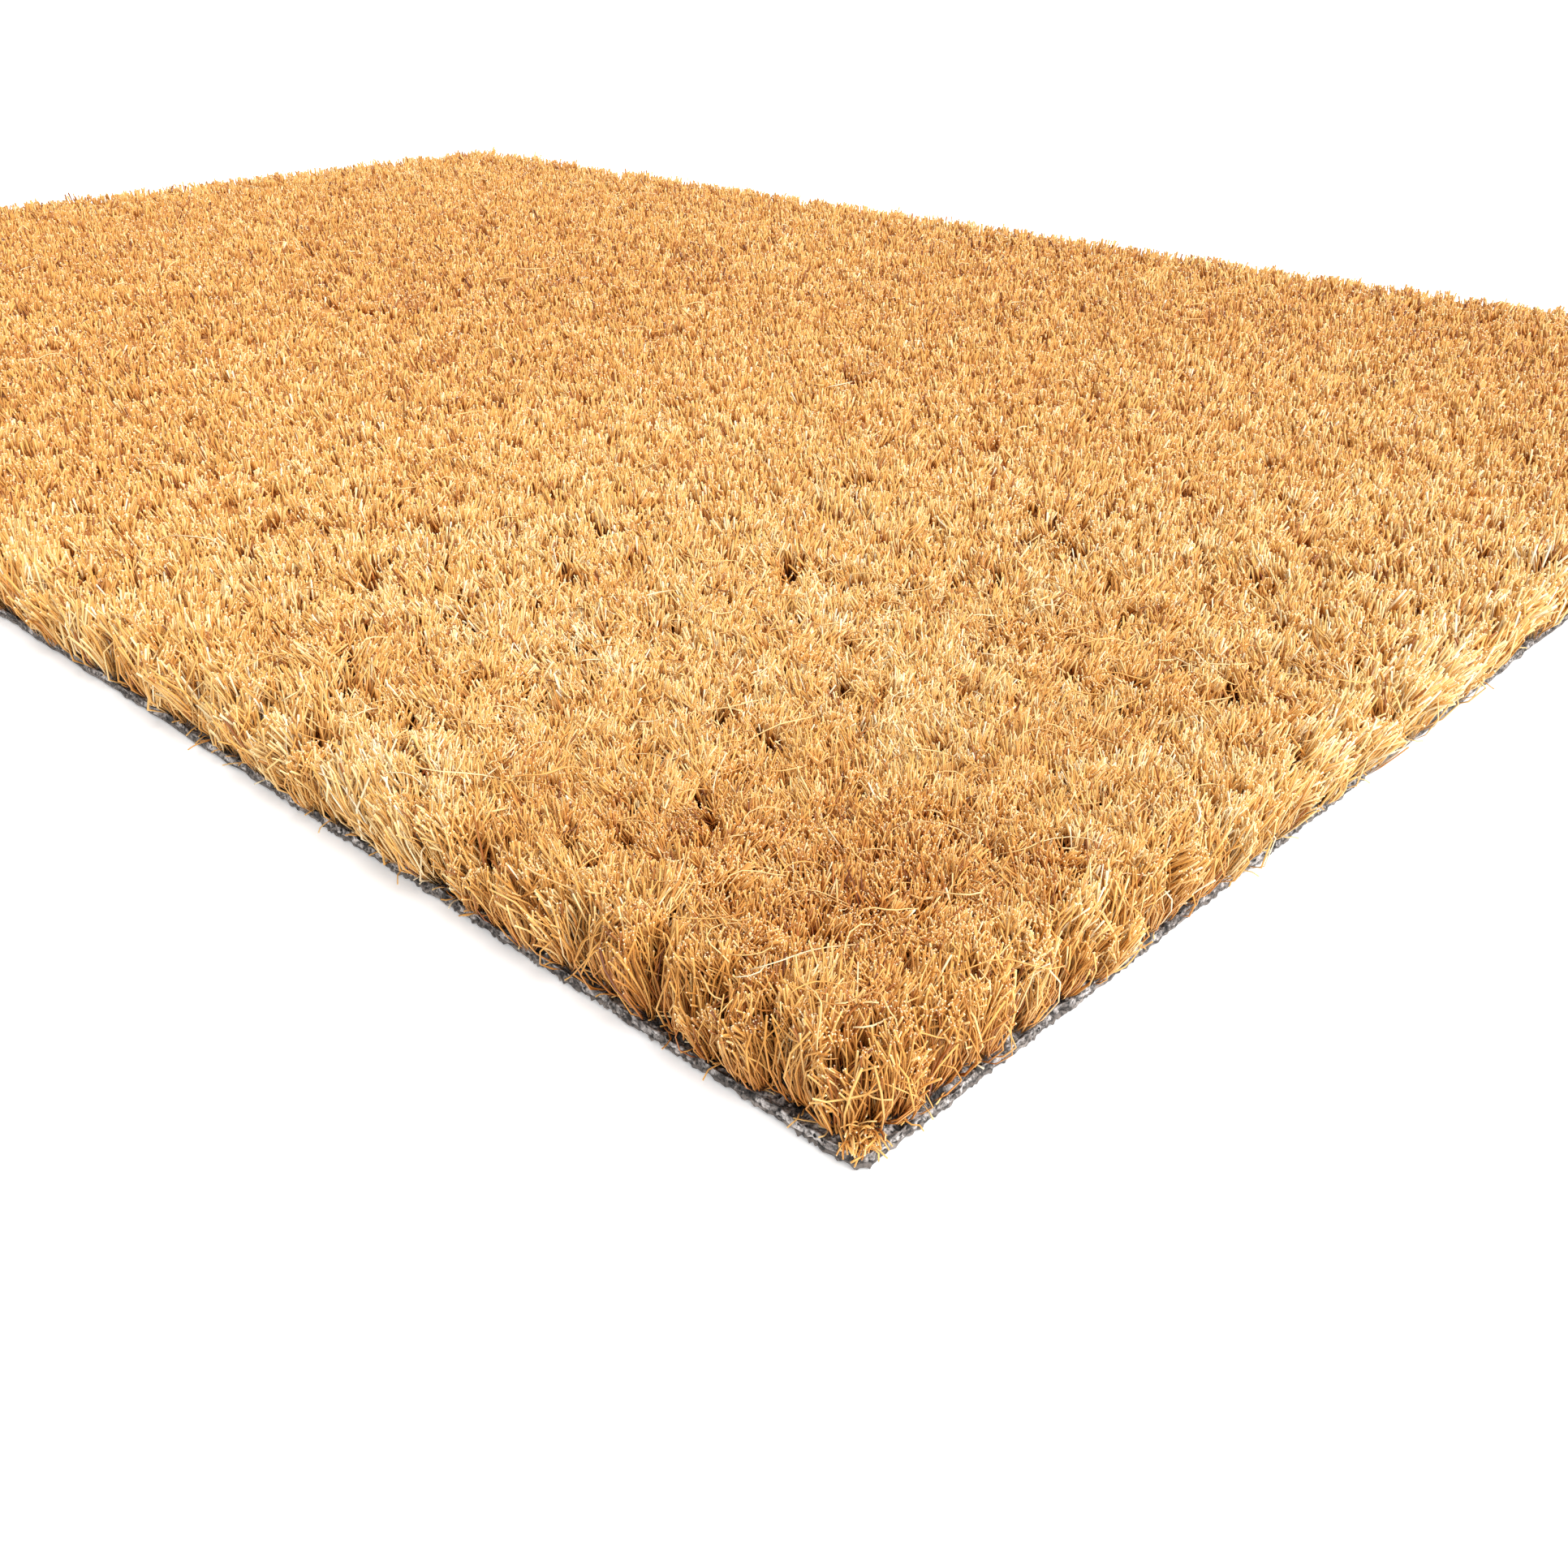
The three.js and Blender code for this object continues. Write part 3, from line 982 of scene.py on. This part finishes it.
def curled(rng, root, yaw, pitch, turn, length, width, tone, stretches):
    # Fibres whose level heading turns evenly, with one gentle wave, while they rise by pitch and fall
    # again. They take the pale part of the map, without the painted root shade.
    count = len(root)
    shares = np.linspace(0.6, 1, stretches + 1)
    t = (np.arange(stretches)[:, None] + 0.5) / stretches
    wave = rng.uniform(0.1, 0.5, count) * np.sin(2 * math.pi * (1.3 * t + rng.uniform(0, 1, count)))
    heading = yaw + turn * (t - 0.5) + wave
    climb = pitch * (1 - 2 * t) + 0.4 * wave
    level = np.cos(climb)
    facing = np.stack([np.cos(heading) * level, np.sin(heading) * level, np.sin(climb)], -1)
    return dict(
        root=root,
        facing=facing,
        step=np.full((stretches, count), 1 / stretches) * length,
        across=np.tile([0, 0, 1.0], (count, 1)),
        shares=shares,
        thickness=width,
        tone=tone,
        roll=rng.uniform(0, 2 * math.pi, count),
    )


# In the four dictionaries below, depths and heights are in mm, angles in radians, length is the shape
# and the scale in mm of a gamma draw, and tone is the middle and the spread, kept within toneRange.
looseTop = {
    "seed": 71,
    "near": 340,
    "far": 420,
    "depth": (0.4, 1.8),  # under the pile's top
    "pitch": (0.15, 0.6),
    "turn": (-4.2, 4.2),
    "length": (4, 2.0),
    "widthFrom": (60, 300),  # mm from the near corner, for the two widths
    "width": (0.20, 0.38),
    "tone": (0.68, 0.12),
    "toneRange": (0.3, 0.94),
    "stretches": 8,
}


def looseOnTop(s):
    # Long fibres that lie across the tips, any way round.
    rng = np.random.default_rng(s["seed"])
    count = s["near"] + s["far"]
    place = scattered(rng, count, s["near"], scatter)
    root = np.column_stack([place, pileHigh[2] - rng.uniform(*s["depth"], count) * mm])
    width = np.interp(nearness(*place.T) / mm, s["widthFrom"], s["width"]) * mm
    yaw = rng.uniform(0, 2 * math.pi, count)
    pitch = rng.uniform(*s["pitch"], count)
    turn = rng.uniform(*s["turn"], count)
    length = rng.gamma(*s["length"], count) * mm
    tone = np.clip(rng.normal(*s["tone"], count), *s["toneRange"])
    return curled(rng, root, yaw, pitch, turn, length, width, tone, s["stretches"])


looseWall = {
    "seed": 72,
    "count": 720,
    "reach": 190 * mm,  # of the half that stays by the near corner, along the outline
    "inset": 2.2 * mm,
    "inwards": (-0.4, 2.0),
    "height": (1, 13),
    "yawSpread": 0.2,
    "pitch": (-0.4, 0.9),
    "turn": (-0.3, 2.4),  # inwards
    "length": (5, 1),
    "sizes": (1.1, 1.8),  # of the length, by the corner and elsewhere
    "width": (0.18, 0.27),
    "tone": (0.7, 0.15),
    "toneRange": (0.3, 0.98),
    "stretches": 8,
}


def looseOnWall(s):
    # Fibres that run along the outermost tufts, either way, and turn in among them.
    rng = np.random.default_rng(s["seed"])
    count = s["count"]
    place, out = alongEdge(rng, count, s["reach"], s["inset"], tufts["rowRadius"])
    place = place - out * (rng.uniform(*s["inwards"], count) * mm)[:, None]
    root = np.column_stack([place, foamHigh[2] + rng.uniform(*s["height"], count) * mm])
    size = np.where(np.arange(count) < count // 2, *s["sizes"]) * mm
    back = rng.integers(0, 2, count)  # 1 for those that run clockwise
    onwards = np.arctan2(out[:, 0], -out[:, 1]) + math.pi * back
    turn = rng.uniform(*s["turn"], count) * (1 - 2 * back)
    yaw = onwards + rng.normal(0, s["yawSpread"], count)
    pitch = rng.uniform(*s["pitch"], count)
    length = rng.gamma(*s["length"], count) * size
    width = rng.uniform(*s["width"], count) * mm
    tone = np.clip(rng.normal(*s["tone"], count), *s["toneRange"])
    return curled(rng, root, yaw, pitch, turn, length, width, tone, s["stretches"])


looseRim = {
    "seed": 73,
    "count": 620,
    "reach": 150 * mm,
    "inset": 0.6 * mm,
    "inwards": (-0.3, 2.6),
    "height": (0.0, 0.35),
    "pitch": (-0.1, 0.5),
    "turn": (-1.6, 1.6),
    "length": (5, 0.5),
    "width": 0.24,
    "tone": (0.55, 0.2),
    "toneRange": (0.05, 0.98),
    "stretches": 4,
}


def looseOnRim(s):
    # Short bits that lie on the bare foam rim, and a few on its cut side.
    rng = np.random.default_rng(s["seed"])
    count = s["count"]
    place, out = alongEdge(rng, count, s["reach"], s["inset"], backing["cornerRadius"])
    place = place - out * (rng.uniform(*s["inwards"], count) * mm)[:, None]
    root = np.column_stack([place, foamHigh[2] + rng.uniform(*s["height"], count) * mm])
    yaw = rng.uniform(0, 2 * math.pi, count)
    pitch = rng.uniform(*s["pitch"], count)
    turn = rng.uniform(*s["turn"], count)
    length = rng.gamma(*s["length"], count) * mm
    width = np.full(count, s["width"] * mm)
    tone = np.clip(rng.normal(*s["tone"], count), *s["toneRange"])
    return curled(rng, root, yaw, pitch, turn, length, width, tone, s["stretches"])


flecks = {
    "seed": 74,
    "count": 420,
    "depth": (0.3, 2.2),
    "darkShare": 0.45,
    "darkTone": (0.0, 0.14),
    "paleTone": (0.7, 0.9),
    "pitch": (-0.5, 0.5),
    "turn": (-0.9, 0.9),
    "length": (6, 0.5),
    "width": (0.3, 0.75),
    "stretches": 3,
    "flatness": 0.3,
}


def huskFlecks(s):
    # Flat woody scraps caught among the tips, pale or dark, a third of them by the near corner.
    rng = np.random.default_rng(s["seed"])
    count = s["count"]
    place = scattered(rng, count, count // 3, scatter)
    root = np.column_stack([place, pileHigh[2] - rng.uniform(*s["depth"], count) * mm])
    isDark = rng.uniform(0, 1, count) < s["darkShare"]
    tone = np.where(isDark, rng.uniform(*s["darkTone"], count), rng.uniform(*s["paleTone"], count))
    yaw = rng.uniform(0, 2 * math.pi, count)
    pitch = rng.uniform(*s["pitch"], count)
    turn = rng.uniform(*s["turn"], count)
    length = rng.gamma(*s["length"], count) * mm
    width = rng.uniform(*s["width"], count) * mm
    return curled(rng, root, yaw, pitch, turn, length, width, tone, s["stretches"])


inPieces("loose_fibres_top", looseOnTop(looseTop))
inPieces("loose_fibres_wall", looseOnWall(looseWall))
inPieces("loose_bits_rim", looseOnRim(looseRim))
inPieces("husk_flecks", huskFlecks(flecks), flatness=flecks["flatness"])


studio = {
    "floorSize": 24,
    "floorGap": 0.05 * mm,  # that keeps the floor clear of the skin
    "floor": (0.95, 0.95, 0.95),
    "floorRoughness": 0.9,
    # Painted light: the floor glows, like a light table, which lifts the mat's shadow on it and lights
    # the mat from below.
    "paintedFloorGlow": 0.3,  # that the floor adds of its own, like a light table
    "world": 0.72,
    "sun": 4.4,
    "sunSize": 50,  # degrees across
    "sunFrom": (0.64, -0.50, 1.0),  # rightwards, away from the lens, and up
}


def setStudio(s):
    # A pale floor that glows a little as painted light, a sky that gives s["world"] of light and is plain
    # white where it is seen, and one wide sun.
    bpy.ops.mesh.primitive_plane_add(size=s["floorSize"], location=(0, 0, -s["floorGap"]))
    floor = bpy.context.object
    floor.name = "floor"
    material, _, shader = newFinish("floor_paint")
    shader.inputs["Base Color"].default_value = (*s["floor"], 1)
    shader.inputs["Roughness"].default_value = s["floorRoughness"]
    # painted light: the floor's own glow
    shader.inputs["Emission Color"].default_value = (*white, 1)
    shader.inputs["Emission Strength"].default_value = s["paintedFloorGlow"]
    floor.data.materials.append(material)
    world = bpy.data.worlds.new("studio")
    world.use_nodes = True
    tree, sky = world.node_tree, world.node_tree.nodes["Background"]
    sky.inputs[0].default_value = (*white, 1)
    seen = node(tree, "ShaderNodeMapRange", To_Min=s["world"], To_Max=1.0)
    tree.links.new(node(tree, "ShaderNodeLightPath").outputs["Is Camera Ray"], seen.inputs["Value"])
    tree.links.new(seen.outputs[0], sky.inputs[1])
    bpy.context.scene.world = world
    bpy.context.scene.view_settings.view_transform = "Standard"
    data = bpy.data.lights.new("sun", "SUN")
    data.energy = s["sun"]
    data.angle = math.radians(s["sunSize"])
    lamp = bpy.data.objects.new("sun", data)
    right, away, up = s["sunFrom"]
    towards = -(ahead * away - left * right + Vector((0, 0, up)))
    lamp.rotation_euler = towards.to_track_quat("-Z", "Y").to_euler()
    bpy.context.scene.collection.objects.link(lamp)


setStudio(studio)
